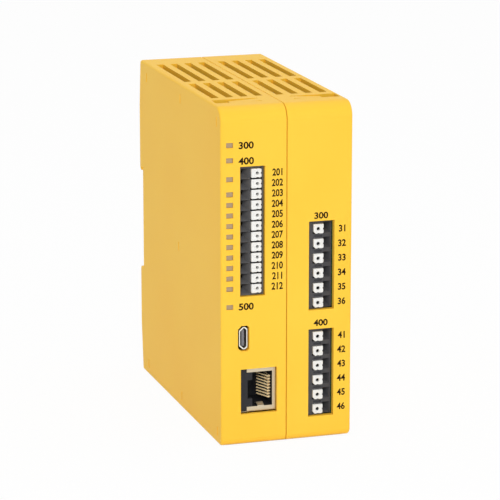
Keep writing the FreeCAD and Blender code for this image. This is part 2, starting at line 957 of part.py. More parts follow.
def clamp_spring(t, z):
    """A leaf that bends over from the far wall and presses the wire on its bar."""
    far = t.width - chamber_margin - sheet
    path = [(far - 0.6, chamber_back - 0.25), (far - 0.1, chamber_front + 2.2),
            (far - 1.0, chamber_front + 1.95), (t.outlet[0], chamber_front + 2.75)]
    half = t.chamber_half - 2 * button_play
    return strip([(t.at(u), front + y) for u, y in path], sheet, z - half, z + half)


def current_bar(t, z):
    """The bar that the wire lies on, bent round to a fork that grips the header's pin."""
    half = t.chamber_half - 3 * button_play
    grip = pin_size / 2 + 0.08
    bar_u = chamber_margin + 0.15
    bridge = chamber_front + 3.3
    tine_end = chamber_back - 0.2
    near = t.pin_u - grip
    far = t.pin_u + grip
    return joined([
        t.box(bar_u, bar_u + sheet, chamber_front + 0.3, bridge + sheet, z - half, z + half),
        t.box(bar_u, far + sheet, bridge, bridge + sheet, z - half, z + half),
        t.box(near - sheet, near, bridge, tine_end, z - half, z + half),
        t.box(far, far + sheet, bridge, tine_end, z - half, z + half),
    ])


def header_body(t):
    """The socket on the board that the plug's collar slides into."""
    foot = abs(t.at(0) - t.board_face)
    wall = shroud_wall
    low = t.collar_low - plug_fit
    high = t.collar_high + plug_fit
    body = t.box(-foot, t.width, collar_start + plug_fit, header_back, low - wall, high + wall)
    cuts = [t.box(wall, t.width - wall, collar_start - 1, header_floor, low, high)]
    half = pin_size / 2
    for z in t.rows:
        cuts.append(t.box(t.pin_u - half, t.pin_u + half, header_floor - 1, header_back + 1,
                          z - half, z + half))
    return body.cut(cuts)


def header_pin(t, z):
    """A square pin through the header, bent down into the board."""
    half = pin_size / 2
    end = t.board_outer - t.inward * pin_proud
    down = abs(t.at(0) - end)
    return joined([
        t.box(t.pin_u - half, t.pin_u + half, pin_tip, pin_bend, z - half, z + half),
        t.box(-down, t.pin_u + half, pin_bend - pin_size, pin_bend, z - half, z + half),
    ])


def light_guide():
    """Light pipes joined by a bar behind the front wall, resting on the logic board."""
    x = left + lamp_column
    half_w = lamp_width / 2 - lamp_play
    half_h = lamp_height / 2 - lamp_play
    inner = x - half_w + 0.3
    y_bar = front + guide_start
    bar = box(inner, logic_outer, y_bar, y_bar + guide_bar,
              lamp_heights[-1] - half_h, lamp_heights[0] + half_h)
    pieces = [bar]
    for z in lamp_heights:
        pieces.append(box(x - half_w, x + half_w, front + lamp_recess, y_bar,
                          z - half_h, z + half_h))
        pieces.append(box(inner, x + half_w, y_bar + guide_bar, front + guide_end,
                          z - half_h, z + half_h))
    return joined(pieces)


def status_lamps():
    """The lamps behind the light pipes, on the outer face of the logic board."""
    x = left + lamp_column
    y0 = front + guide_end + lamp_gap
    return [
        box(x - lamp_width / 4, logic_outer, y0, y0 + lamp_die,
            z - lamp_height / 2, z + lamp_height / 2)
        for z in lamp_heights
    ]


def jack_body():
    """The jack's moulding, with the port for the plug and the key slot for its clip."""
    half = jack_width / 2
    x1 = logic_face + jack_height
    y0 = front + jack_face
    body = box(logic_face, x1, y0, y0 + jack_length, jack_middle - half, jack_middle + half)
    roof = x1 - jack_roof
    port_floor = roof - jack_port_height
    port = box(port_floor, roof, y0 - 1, y0 + jack_port_depth,
               jack_middle - jack_port_width / 2, jack_middle + jack_port_width / 2)
    key = box(port_floor - jack_key_height, port_floor + 1, y0 - 1, y0 + jack_key_depth,
              jack_middle - jack_key_width / 2, jack_middle + jack_key_width / 2)
    return body.cut([port, key])


def jack_shield_sheet():
    """Sheet metal over three sides and the back of the jack, with a rim at its mouth."""
    t = jack_shield
    half = jack_width / 2
    x0 = logic_face
    x1 = logic_face + jack_height
    y0 = front + jack_face
    y1 = y0 + jack_length
    low = jack_middle - half
    high = jack_middle + half
    wrap = box(x0, x1 + t, y0 - t, y1 + t, low - t, high + t)
    rim = [
        e for e in wrap.Edges
        if all(abs(v.Y - y0 + t) < 1e-6 for v in e.Vertexes)
        and any(v.X > x1 for v in e.Vertexes)
    ]
    wrap = wrap.makeFillet(jack_shield_round, rim)
    wrap = wrap.cut(box(x0 - 1, x1, y0, y1, low, high))
    port_half = jack_port_width / 2
    mouth = box(x0 - 1, x1 - jack_roof, y0 - 2 * t, y0 + t,
                jack_middle - port_half, jack_middle + port_half)
    port_floor = x1 - jack_roof - jack_port_height
    rim_start = port_floor - jack_rim_reach
    bare = box(x0 - 1, rim_start, y0 - 2 * t, y0, low - 1, high + 1)
    floor_z = jack_middle - port_half
    y_finger = y0 + finger_length / 2
    y_end = y0 + finger_length
    x_finger = port_floor + finger_inset
    finger = prism_x([
        (y0 - t, floor_z - t, 0), (y0, floor_z - t, 0), (y0, floor_z, 0),
        (y_finger, floor_z + finger_rise, 0), (y_end, floor_z + finger_rise / 4, 0),
        (y_end, floor_z + finger_rise / 4 + t, 0), (y_finger, floor_z + finger_rise + t, 0),
        (y0 - t, floor_z + t, 0),
    ], x_finger - finger_width / 2, x_finger + finger_width / 2)
    return joined([wrap.cut([mouth, bare]), finger])


def jack_contact(k):
    """One contact wire: along the port's roof, round, and slanting back into the port."""
    z = jack_middle + (k - (jack_contacts - 1) / 2) * jack_contact_pitch
    r = jack_contact_radius
    roof = logic_face + jack_height - jack_roof - jack_contact_play - r
    y0 = front + jack_face + jack_contact_start
    y1 = y0 + jack_contact_run
    bend = jack_contact_bend
    start = V(roof, y1, z)
    end = V(roof - jack_contact_drop, y1 - 2 * r, z)
    slant = end - V(roof - bend, y0, z)
    slant.normalize()
    turn_end = V(roof - bend, y0, z) + slant * bend
    path = Part.Wire([
        Part.LineSegment(start, V(roof, y0 + bend, z)).toShape(),
        Part.Arc(V(roof, y0 + bend, z), V(roof - bend / 2, y0, z), turn_end).toShape(),
        Part.LineSegment(turn_end, end).toShape(),
    ])
    section = Part.Wire(Part.makeCircle(r, start, V(0, 1, 0)))
    return path.makePipeShell([section], True, True, 2)


def usb_shell():
    """The receptacle's sheet-metal tube."""
    y0 = front + usb_face
    outer = prism_y(usb_outline(0), y0, y0 + usb_length)
    return outer.cut(prism_y(usb_outline(-usb_sheet), y0 - 1, y0 + usb_length + 1))


def usb_tongue():
    """The contact tongue and the block that closes the back of the receptacle."""
    y0 = front + usb_face
    y1 = y0 + usb_length
    block = prism_y(usb_outline(-usb_sheet), y1 - usb_base_length, y1)
    x = logic_face + usb_shell_height / 2
    tongue = box(x - usb_tongue_thickness / 2, x + usb_tongue_thickness / 2,
                 y0 + usb_tongue_start, y1,
                 usb_middle - usb_tongue_width / 2, usb_middle + usb_tongue_width / 2)
    return joined([block, tongue])


def relay(k):
    """One relay lying on its pins, its case rounded along the board's depth."""
    low = relay_bottom + k * (relay_width + relay_gap)
    y0 = front + relay_front
    corners = rectangle(y0, y0 + relay_length, low, low + relay_width, relay_edge_radius)
    case = prism_x(corners, relay_face - relay_height, relay_face)
    length = board_thickness + relay_pin_proud
    pins = [
        Part.makeCylinder(relay_pin_radius, length, V(relay_face, y, z), V(1, 0, 0))
        for y, z in relay_pin_places() if low < z < low + relay_width
    ]
    return joined([case] + pins)


def link_socket():
    """The tall socket on the logic board."""
    outer = box(logic_face, link_overlap, front + link_front, front + link_front + link_width,
                link_bottom, link_bottom + link_length)
    wall = link_wall
    pocket = box(-link_overlap, link_overlap + 1,
                 front + link_front + wall, front + link_front + link_width - wall,
                 link_bottom + wall, link_bottom + link_length - wall)
    return outer.cut(pocket)


def link_plug():
    """The matching plug on the relay board."""
    wall = link_wall + link_play
    body = box(link_overlap + link_play, relay_face,
               front + link_front, front + link_front + link_width,
               link_bottom, link_bottom + link_length)
    tongue = box(-link_overlap + link_play, link_overlap + 1,
                 front + link_front + wall, front + link_front + link_width - wall,
                 link_bottom + wall, link_bottom + link_length - wall)
    return joined([body, tongue])


def chip(y0, z0, length, wide, tall):
    """A flat component on the logic board, its top edges chamfered."""
    body = box(logic_face, logic_face + tall, y0, y0 + length, z0, z0 + wide)
    top = [e for e in body.Edges
           if all(abs(v.X - logic_face - tall) < 1e-6 for v in e.Vertexes)]
    return body.makeChamfer(chip_chamfer, top)


def logic_chips():
    """Two processors, the network transceiver and an isolator for each signal pole."""
    chips = [
        chip(front + processor_front, z, processor_size, processor_size, processor_height)
        for z in processor_heights
    ]
    chips.append(chip(front + transceiver_front, transceiver_bottom, transceiver_size,
                      transceiver_size, processor_height))
    for z in signal_terminals.rows:
        chips.append(chip(front + isolator_front, z - isolator_width / 2, isolator_length,
                          isolator_width, isolator_height))
    return chips


def capacitors():
    """Three smoothing capacitors, each a can turned over a square-cornered base."""
    cans = []
    z = height - capacitor_top_margin
    r = capacitor_radius
    for k in range(capacitor_count):
        y = front + capacitor_front + capacitor_pitch * k
        base = box(logic_face, logic_face + capacitor_base, y - r, y + r, z - r, z + r)
        waist = capacitor_base + 1.6
        profile = rounded_face([
            (0, capacitor_base, 0), (r - 0.3, capacitor_base, 0), (r - 0.3, waist - 0.5, 0),
            (r - 0.7, waist, 0), (r - 0.3, waist + 0.5, 0),
            (r - 0.3, capacitor_height, 0.6), (0, capacitor_height, 0),
        ], lambda a, b: V(logic_face + b, y + a, z))
        cans.append(joined([base, profile.revolve(V(0, y, z), V(1, 0, 0), 360)]))
    return cans


def write(name, shape):
    """One STEP file for each named piece or group of like pieces."""
    if isinstance(shape, list):
        shape = Part.makeCompound(shape)
    shape.exportStep("parts/" + name + ".step")


def build_terminals(t):
    """A plug, its springs, bars and buttons, and the header that it plugs into."""
    write(t.name + "_plug", plug_body(t))
    write(t.name + "_clamp_springs", [clamp_spring(t, z) for z in t.rows])
    write(t.name + "_current_bars", [current_bar(t, z) for z in t.rows])
    write(t.name + "_header", header_body(t))
    for k, z in enumerate(t.rows, start=1):
        write("%s_button_%02d" % (t.name, k), button(t, z))


def build():
    """Write every piece."""
    os.makedirs("parts", exist_ok=True)
    write("left_shell", half_shell(-1))
    write("right_shell", half_shell(1))
    write("rail_latch", rail_latch())
    write("latch_spring", latch_spring())
    output_holes = [hole for t in output_terminals for hole in pin_holes(t)]
    relay_holes = [(y, z, relay_pin_radius + stake_play) for y, z in relay_pin_places()]
    write("logic_board", board(logic_outer, logic_face, pin_holes(signal_terminals)))
    write("relay_board", board(relay_face, relay_outer, output_holes + relay_holes))
    for t in all_terminals:
        build_terminals(t)
    write("signal_header_pins", [header_pin(signal_terminals, z) for z in signal_terminals.rows])
    write("output_header_pins", [header_pin(t, z) for t in output_terminals for z in t.rows])
    write("light_guide", light_guide())
    write("status_lamps", status_lamps())
    write("network_jack_body", jack_body())
    write("network_jack_shield", jack_shield_sheet())
    write("network_jack_contacts", [jack_contact(k) for k in range(jack_contacts)])
    write("usb_shell", usb_shell())
    write("usb_tongue", usb_tongue())
    for k in range(relay_count):
        write("relay_%d" % (k + 1), relay(k))
    write("link_socket", link_socket())
    write("link_plug", link_plug())
    write("logic_chips", logic_chips())
    write("capacitors", capacitors())


build()
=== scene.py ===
# %% [markdown]
# # A safety relay for a 35 mm rail
#
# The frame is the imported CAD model: a moulded housing in two halves, three pluggable
# terminal blocks with release buttons, light pipes, two data ports and a rail latch.
# Everything here is in metres in the same axes: X runs across the front, Y from the
# front to the rail, Z up. We load the frame first and keep its box, because the looks
# may not grow the object.

import json
import math

import bmesh
import bpy
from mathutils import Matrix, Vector

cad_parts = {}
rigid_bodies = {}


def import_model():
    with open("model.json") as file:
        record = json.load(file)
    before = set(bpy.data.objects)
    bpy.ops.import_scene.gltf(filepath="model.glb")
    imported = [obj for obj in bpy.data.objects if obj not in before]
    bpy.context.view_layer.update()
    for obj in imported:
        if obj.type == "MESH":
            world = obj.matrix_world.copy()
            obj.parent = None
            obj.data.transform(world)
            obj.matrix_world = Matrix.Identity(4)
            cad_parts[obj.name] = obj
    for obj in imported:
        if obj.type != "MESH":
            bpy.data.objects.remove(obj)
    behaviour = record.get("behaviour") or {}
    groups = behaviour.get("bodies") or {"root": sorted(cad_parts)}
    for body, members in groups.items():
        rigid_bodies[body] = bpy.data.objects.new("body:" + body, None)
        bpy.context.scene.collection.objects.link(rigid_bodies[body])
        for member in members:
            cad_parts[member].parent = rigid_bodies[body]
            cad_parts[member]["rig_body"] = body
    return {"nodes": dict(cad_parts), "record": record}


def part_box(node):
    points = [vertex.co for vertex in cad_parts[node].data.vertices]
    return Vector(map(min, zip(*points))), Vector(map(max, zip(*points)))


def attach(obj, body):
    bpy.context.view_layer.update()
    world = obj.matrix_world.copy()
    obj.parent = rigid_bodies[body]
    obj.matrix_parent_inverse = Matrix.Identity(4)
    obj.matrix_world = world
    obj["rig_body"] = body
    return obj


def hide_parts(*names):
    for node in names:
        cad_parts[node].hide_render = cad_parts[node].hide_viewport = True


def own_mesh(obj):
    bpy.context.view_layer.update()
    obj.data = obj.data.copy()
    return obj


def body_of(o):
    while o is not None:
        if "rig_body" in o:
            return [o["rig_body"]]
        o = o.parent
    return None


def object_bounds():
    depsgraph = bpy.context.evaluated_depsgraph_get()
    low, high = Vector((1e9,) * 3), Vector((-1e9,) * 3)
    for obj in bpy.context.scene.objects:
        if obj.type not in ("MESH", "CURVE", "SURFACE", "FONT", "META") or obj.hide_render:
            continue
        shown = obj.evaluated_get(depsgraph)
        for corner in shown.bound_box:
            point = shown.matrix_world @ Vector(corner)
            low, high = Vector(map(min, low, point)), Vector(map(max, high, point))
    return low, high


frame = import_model()
nodes = frame["nodes"]
cad_box = [list(corner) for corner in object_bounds()]
low, high = (Vector(corner) for corner in cad_box)
print("frame:", len(nodes), "nodes; box", [round(1000 * (b - a), 1) for a, b in zip(low, high)])

# %% [markdown]
# ## Millimetres and colours
#
# Makers give sizes in millimetres and colours as sRGB hex values. Blender's shaders
# work in linear light, so one function turns the hex values by the curve of the sRGB
# standard, and one constant turns the millimetres.

# %% Units
MM = 0.001
housing_yellow = "#FDC83E"


def linear(hex_colour):
    """An sRGB hex colour as linear red, green, blue and alpha."""
    shares = [int(hex_colour[i:i + 2], 16) / 255 for i in (1, 3, 5)]
    return [c / 12.92 if c <= 0.04045 else ((c + 0.055) / 1.055) ** 2.4 for c in shares] + [1.0]


print("housing yellow in linear light:", [round(c, 3) for c in linear(housing_yellow)])

# %% [markdown]
# ## The camera
#
# A long lens from nearly a metre away, a little to the left and above: upright edges
# stay almost parallel, as in a catalogue picture. The camera is placed by two angles
# and a distance round the point that it looks at, so each can be changed by itself.

# %% Camera
scene = bpy.context.scene
aim = Vector((2.6, -1.5, 53.9)) * MM
camera_distance = 938.9 * MM
camera_turn = math.radians(17.46)
camera_rise = math.radians(13.64)

towards = Vector((
    -math.sin(camera_turn) * math.cos(camera_rise),
    -math.cos(camera_turn) * math.cos(camera_rise),
    math.sin(camera_rise),
))
camera_data = bpy.data.cameras.new("camera")
camera_data.sensor_width = 36.0
camera_data.lens = 196.47
camera_data.clip_start = 0.05
camera = bpy.data.objects.new("camera", camera_data)
scene.collection.objects.link(camera)
camera.location = aim + towards * camera_distance
camera.rotation_euler = (-towards).to_track_quat("-Z", "Y").to_euler()
scene.camera = camera
print("camera at", [round(c / MM) for c in camera.location], "mm")

# %% [markdown]
# ## Two functions for shader nodes
#
# Every material below is a small graph of nodes. The first function adds one node with
# its settings, the constants on its sockets and the links that feed them. The second
# starts a material.

# %% Node helpers


def add_node(tree, kind, settings=None, values=None, links=None):
    """One shader node with its settings, its constants and what feeds it."""
    node = tree.nodes.new(kind)
    for name, value in (settings or {}).items():
        setattr(node, name, value)
    for name, value in (values or {}).items():
        node.inputs[name].default_value = value
    for name, source in (links or {}).items():
        tree.links.new(source, node.inputs[name])
    return node


def new_material(name):
    """A new material and its node tree, which is empty."""
    material = bpy.data.materials.new(name)
    material.use_nodes = True
    material.node_tree.nodes.clear()
    return material, material.node_tree


print("helpers: add_node, new_material")

# %% [markdown]
# ## Floor, backdrop and light
#
# Catalogue pictures stand on white with hardly any shadow. The floor is a real white
# surface, so it keeps the shadow, and rays from the camera and from gloss also see
# some white light of its own, which lifts it to paper white without lighting the
# object any more. Under the object that light is off, so that the floor slots of the
# housing stay dark, as they are over a real floor. The floor's underside has it
# everywhere.

# %% Direct rays


def direct(tree):
    """One for rays from the camera, off gloss or through clear plastic, and else nought."""
    path = add_node(tree, "ShaderNodeLightPath")
    share = path.outputs["Is Camera Ray"]
    for kind in ("Is Glossy Ray", "Is Transmission Ray"):
        share = add_node(tree, "ShaderNodeMath", {"operation": "MAXIMUM"},
                         links={0: share, 1: path.outputs[kind]}).outputs[0]
    return share


print("direct rays: camera, gloss, transmission")

# %% Floor material
glow_share = 0.94
footprint_inset = 2 * MM
stage_white, tree = new_material("stage_white_paper")
share = add_node(tree, "ShaderNodeMath", {"operation": "MULTIPLY"}, {1: glow_share},
                 {0: direct(tree)})
place = add_node(tree, "ShaderNodeTexCoord")
along = add_node(tree, "ShaderNodeSeparateXYZ", links={"Vector": place.outputs["Object"]})
clear = add_node(tree, "ShaderNodeNewGeometry").outputs["Backfacing"]
for axis, half in (("X", high.x - footprint_inset), ("Y", high.y - footprint_inset)):
    distance = add_node(tree, "ShaderNodeMath", {"operation": "ABSOLUTE"},
                        links={0: along.outputs[axis]})
    beyond = add_node(tree, "ShaderNodeMath", {"operation": "GREATER_THAN"}, {1: half},
                      {0: distance.outputs[0]})
    clear = add_node(tree, "ShaderNodeMath", {"operation": "MAXIMUM"},
                     links={0: clear, 1: beyond.outputs[0]}).outputs[0]
share = add_node(tree, "ShaderNodeMath", {"operation": "MULTIPLY"},
                 links={0: share.outputs[0], 1: clear})
paper = add_node(tree, "ShaderNodeBsdfDiffuse", values={"Color": linear("#FAFAFA")})
glow = add_node(tree, "ShaderNodeEmission", values={"Color": (1, 1, 1, 1), "Strength": 1.0})
both = add_node(tree, "ShaderNodeMixShader",
                links={0: share.outputs[0], 1: paper.outputs[0], 2: glow.outputs[0]})
add_node(tree, "ShaderNodeOutputMaterial", links={"Surface": both.outputs[0]})
print("floor glows", glow_share, "of full white")

# %% Stage
floor_mesh = bpy.data.meshes.new("floor")
reach = 3.0
level = -0.02 * MM
corners = [(-reach, -reach, level), (reach, -reach, level),
           (reach, reach, level), (-reach, reach, level)]
floor_mesh.from_pydata(corners, [], [(0, 1, 2, 3)])
floor_mesh.materials.append(stage_white)
floor = bpy.data.objects.new("floor", floor_mesh)
scene.collection.objects.link(floor)
print("floor:", 2 * reach, "m across")

# %% [markdown]
# ## The light
#
# A pale sky does half of the work, as a light tent does. It is a little dimmer on the
# left, where the key lamp stands: in front, to the left and above, so the front is the
# brightest face and every recess has a shadow along its top and left edges. A weak lamp
# overhead lifts the roof, and another near the floor lifts the foot of the front. The
# camera itself sees plain white behind the object.

# %% World
tent_left = 0.48
tent_right = 0.73
world = bpy.data.worlds.new("light_tent")
world.use_nodes = True
tree = world.node_tree
tree.nodes.clear()
where = add_node(tree, "ShaderNodeTexCoord")
side = add_node(tree, "ShaderNodeSeparateXYZ", links={"Vector": where.outputs["Generated"]})
strength = add_node(tree, "ShaderNodeMapRange",
                    values={"From Min": -1.0, "From Max": 1.0,
                            "To Min": tent_left, "To Max": tent_right},
                    links={"Value": side.outputs["X"]})
tent = add_node(tree, "ShaderNodeBackground", values={"Color": (1, 1, 1, 1)},
                links={"Strength": strength.outputs["Result"]})
white = add_node(tree, "ShaderNodeBackground", values={"Color": (1, 1, 1, 1), "Strength": 1.0})
both = add_node(tree, "ShaderNodeMixShader",
                links={0: direct(tree), 1: tent.outputs[0], 2: white.outputs[0]})
add_node(tree, "ShaderNodeOutputWorld", links={"Surface": both.outputs[0]})
scene.world = world
scene.view_settings.view_transform = "Standard"
print("tent strength:", tent_left, "on the left to", tent_right, "on the right")

# %% Lamps


def lamp(name, place, size, watts):
    """A square soft lamp, sized in metres, that faces the point that the camera looks at."""
    data = bpy.data.lights.new(name, "AREA")
    data.size = size
    data.energy = watts
    thing = bpy.data.objects.new(name, data)
    scene.collection.objects.link(thing)
    thing.location = place
    thing.rotation_euler = (aim - Vector(place)).to_track_quat("-Z", "Y").to_euler()
    return thing


lamps = [
    lamp("key_lamp", (-0.46, -1.28, 0.85), size=0.5, watts=8.8),
    lamp("top_lamp", (0.1, 0.1, 1.4), size=0.9, watts=2.6),
    lamp("low_lamp", (0.15, -1.0, 0.05), size=0.3, watts=0.8),
]
print("lamps:", [(thing.name, round(thing.data.energy, 1)) for thing in lamps], "W")

# %% [markdown]
# ## Housing: moulded polycarbonate blend
#
# The housing of such a unit is a glass-filled polycarbonate or polyamide, dyed right
# through and moulded in a spark-eroded tool. The erosion leaves a satin grain of about
# a tenth of a millimetre that softens every highlight. It is drawn three times as
# coarse, because the true grain is finer than the picture can show. Two close yellows
# that change over a few centimetres stand for the flow of the melt.

# %% Housing plastic
grain = 0.3 * MM
grain_depth = 0.02 * MM
flow_size = 30 * MM
housing_plastic, tree = new_material("polycarbonate_blend_signal_yellow")
place = add_node(tree, "ShaderNodeTexCoord")
eroded = add_node(tree, "ShaderNodeTexNoise", values={"Scale": 1 / grain, "Detail": 2.0},
                  links={"Vector": place.outputs["Object"]})
flow = add_node(tree, "ShaderNodeTexNoise", values={"Scale": 1 / flow_size, "Detail": 1.0},
                links={"Vector": place.outputs["Object"]})
tone = add_node(tree, "ShaderNodeValToRGB", links={"Fac": flow.outputs["Fac"]})
tone.color_ramp.elements[0].position = 0.3
tone.color_ramp.elements[0].color = linear(housing_yellow)
tone.color_ramp.elements[1].position = 0.7
tone.color_ramp.elements[1].color = linear("#FECC43")
rough = add_node(tree, "ShaderNodeMapRange",
                 values={"To Min": 0.40, "To Max": 0.52}, links={"Value": eroded.outputs["Fac"]})
bump = add_node(tree, "ShaderNodeBump", values={"Strength": 0.10, "Distance": grain_depth},
                links={"Height": eroded.outputs["Fac"]})
surface = add_node(tree, "ShaderNodeBsdfPrincipled",
                   values={"IOR": 1.55, "Specular IOR Level": 0.13},
                   links={"Base Color": tone.outputs["Color"],
                          "Roughness": rough.outputs["Result"],
                          "Normal": bump.outputs["Normal"]})
add_node(tree, "ShaderNodeOutputMaterial", links={"Surface": surface.outputs[0]})
print("housing grain:", round(grain / MM, 2), "mm")

# %% [markdown]
# ## The other plastics
#
# The small mouldings share one recipe with different values: a dyed plastic with the
# fine grain of its tool. What changes is the colour, how far the tool was polished, how
# coarse and deep its grain is, and how much gloss is left. Each is named for the polymer
# that such a piece is made of.

# %% One moulded plastic
tool_spread = 0.05


def moulded(name, colour, roughness, ior, grain_mm, grain_strength, specular=0.5):
    """A dyed moulded plastic: colour, gloss and the grain that its tool leaves, in mm."""
    material, tree = new_material(name)
    place = add_node(tree, "ShaderNodeTexCoord")
    tool = add_node(tree, "ShaderNodeTexNoise",
                    values={"Scale": 1 / (grain_mm * MM), "Detail": 2.0},
                    links={"Vector": place.outputs["Object"]})
    rough = add_node(tree, "ShaderNodeMapRange",
                     values={"To Min": roughness - tool_spread, "To Max": roughness + tool_spread},
                     links={"Value": tool.outputs["Fac"]})
    bump = add_node(tree, "ShaderNodeBump",
                    values={"Strength": grain_strength, "Distance": grain_depth},
                    links={"Height": tool.outputs["Fac"]})
    surface = add_node(tree, "ShaderNodeBsdfPrincipled",
                       values={"Base Color": linear(colour), "IOR": ior,
                               "Specular IOR Level": specular},
                       links={"Roughness": rough.outputs["Result"],
                              "Normal": bump.outputs["Normal"]})
    add_node(tree, "ShaderNodeOutputMaterial", links={"Surface": surface.outputs[0]})
    return material


print("roughness changes by", tool_spread, "either way over the grain")

# %% Moulded plastics
# Each has its name, colour, roughness, refractive index, grain in mm and the strength of
# that grain. Where a seventh value follows, it cuts the gloss.
plastics = {
    "button": moulded("polyester_white_moulded", "#E9E9E6", 0.42, 1.57, 0.3, 0.10, 0.3),
    "plug": moulded("polyamide_charcoal_moulded", "#4F4F52", 0.60, 1.53, 0.3, 0.20, 0.12),
    # The narrow plug is the same charcoal, painted lighter to offset the shade in its deep wire
    # entries.
    "narrow_plug_painted_lighter": moulded("polyamide_charcoal_painted_lighter", "#5E5E60", 0.60, 1.53, 0.3, 0.20,
                           0.12),
    "header": moulded("polyamide_dark_grey_moulded", "#2E2E31", 0.55, 1.53, 0.3, 0.20),
    "latch": moulded("polyamide_black_moulded", "#232325", 0.48, 1.53, 0.3, 0.20),
    "jack_moulding": moulded("polyester_black_moulded", "#28282C", 0.50, 1.57, 0.3, 0.12, 0.2),
    "link_moulding": moulded("liquid_crystal_polymer_black", "#1D1D1F", 0.45, 1.60, 0.3, 0.15),
    "relay_case": moulded("polyester_relay_case", "#26282B", 0.30, 1.57, 0.4, 0.08),
    "chip": moulded("epoxy_moulding_compound", "#1A1A1C", 0.55, 1.55, 0.2, 0.25),
    "light_guide": moulded("polycarbonate_frosted_light_pipe", "#A88F6A", 0.35, 1.585, 0.3, 0.10),
    "lamp": moulded("epoxy_clear_lamp_body", "#E9E6DC", 0.22, 1.53, 0.3, 0.05),
    "usb_moulding": moulded("liquid_crystal_polymer_grey", "#6E6D72", 0.45, 1.60, 0.3, 0.10),
}
print("plastics:", len(plastics))

# %% [markdown]
# ## Metals
#
# A metal has no colour of its own under its gloss: the base colour is its reflection.
# The strips are rolled, so their scratches run one way. The network jack's shield is
# nickel plate and its contacts are gold plated. The clamp springs and the latch spring
# are bare stainless spring strip, the pins and bars are tinned copper, the small port's
# shell is drawn stainless steel and the capacitors' cans are bright aluminium.

# %% One rolled metal
line_depth = 0.01 * MM
line_spread = 0.08


def rolled_metal(name, colour, roughness, line_mm, stretch):
    """Rolled or drawn metal: fine lines, long on the axis that stretch cuts, streak its gloss."""
    material, tree = new_material(name)
    place = add_node(tree, "ShaderNodeTexCoord")
    drawn = add_node(tree, "ShaderNodeMapping", values={"Scale": stretch},
                     links={"Vector": place.outputs["Object"]})
    lines = add_node(tree, "ShaderNodeTexNoise",
                     values={"Scale": 1 / (line_mm * MM), "Detail": 3.0},
                     links={"Vector": drawn.outputs["Vector"]})
    rough = add_node(tree, "ShaderNodeMapRange",
                     values={"To Min": roughness - line_spread, "To Max": roughness + line_spread},
                     links={"Value": lines.outputs["Fac"]})
    bump = add_node(tree, "ShaderNodeBump", values={"Strength": 0.15, "Distance": line_depth},
                    links={"Height": lines.outputs["Fac"]})
    surface = add_node(tree, "ShaderNodeBsdfPrincipled",
                       values={"Base Color": linear(colour), "Metallic": 1.0},
                       links={"Roughness": rough.outputs["Result"],
                              "Normal": bump.outputs["Normal"]})
    add_node(tree, "ShaderNodeOutputMaterial", links={"Surface": surface.outputs[0]})
    return material


print("rolling lines:", round(1000 * line_depth / MM), "micrometres deep")

# %% Metals
# Each has its name, colour, roughness, the distance between its lines in mm and the
# stretch, where 0.1 is along the lines.
metals = {
    "spring_steel": rolled_metal("stainless_spring_strip", "#B9B9BB", 0.30, 0.15, (1, 1, 0.1)),
    "tinned_copper": rolled_metal("tinned_copper_bar", "#D6D3CC", 0.34, 0.15, (1, 0.1, 1)),
    "port_shield": rolled_metal("nickel_plated_steel_sheet", "#CFC4AC", 0.55, 0.2, (1, 1, 0.1)),
    "gold_contact": rolled_metal("gold_plated_bronze_wire", "#FFF0CC", 0.92, 0.1, (0.1, 1, 1)),
    "drawn_shell": rolled_metal("stainless_steel_drawn_shell", "#F4F0E4", 0.30, 0.15, (1, 1, 0.1)),
    "capacitor_can": rolled_metal("bright_drawn_aluminium", "#D8DADD", 0.22, 0.2, (0.1, 1, 1)),
}
print("metals:", len(metals))

# %% [markdown]
# ## Circuit board
#
# Glass-epoxy laminate under green solder resist. The resist is glossy, and paler where
# it covers copper. The joints of a brick pattern with rows 2.54 mm apart, the pitch of
# many parts on such boards, stand for the copper tracks.

# %% Circuit board
track_pitch = 2.54 * MM
track_length = 12.7 * MM
track_width = 0.25 * MM
circuit_board, tree = new_material("glass_epoxy_green_solder_resist")
place = add_node(tree, "ShaderNodeTexCoord")
across = add_node(tree, "ShaderNodeSeparateXYZ", links={"Vector": place.outputs["Object"]})
flat = add_node(tree, "ShaderNodeCombineXYZ",
                links={"X": across.outputs["Y"], "Y": across.outputs["Z"]})
tracks = add_node(tree, "ShaderNodeTexBrick",
                  {"offset": 0.5, "squash": 1.0},
                  {"Scale": 1.0, "Brick Width": track_length, "Row Height": track_pitch,
                   "Mortar Size": track_width, "Color1": linear("#0F5A33"),
                   "Color2": linear("#0E5230"), "Mortar": linear("#1B7A48")},
                  {"Vector": flat.outputs["Vector"]})
surface = add_node(tree, "ShaderNodeBsdfPrincipled", values={"Roughness": 0.28, "IOR": 1.55},
                   links={"Base Color": tracks.outputs["Color"]})
add_node(tree, "ShaderNodeOutputMaterial", links={"Surface": surface.outputs[0]})
print("board tracks every", round(track_pitch / MM, 2), "mm")

# %% [markdown]
# ## Finishes on the CAD pieces
#
# Each CAD node names a slot in its record. The finish for that slot goes on the node's
# own object; its mesh stays as it is. Two pieces get a finish of their own: the narrow
# plug is the same charcoal as the wide ones, painted a shade lighter to offset the
# shade in its deep wire entries, and the small data port has a brighter shell than the
# large one.

# %% Dress the frame
finishes = {"housing": housing_plastic, "circuit_board": circuit_board, **plastics, **metals}
slot_of = {part["node"]: part["material_slot"] for part in frame["record"]["subparts"]}
slot_of.update({"signal_plug": "narrow_plug_painted_lighter", "usb_shell": "drawn_shell"})
for name, thing in nodes.items():
    for place_in_list in thing.material_slots:
        place_in_list.material = finishes[slot_of[name]]
print("dressed:", len(nodes), "nodes with", len(finishes), "finishes")
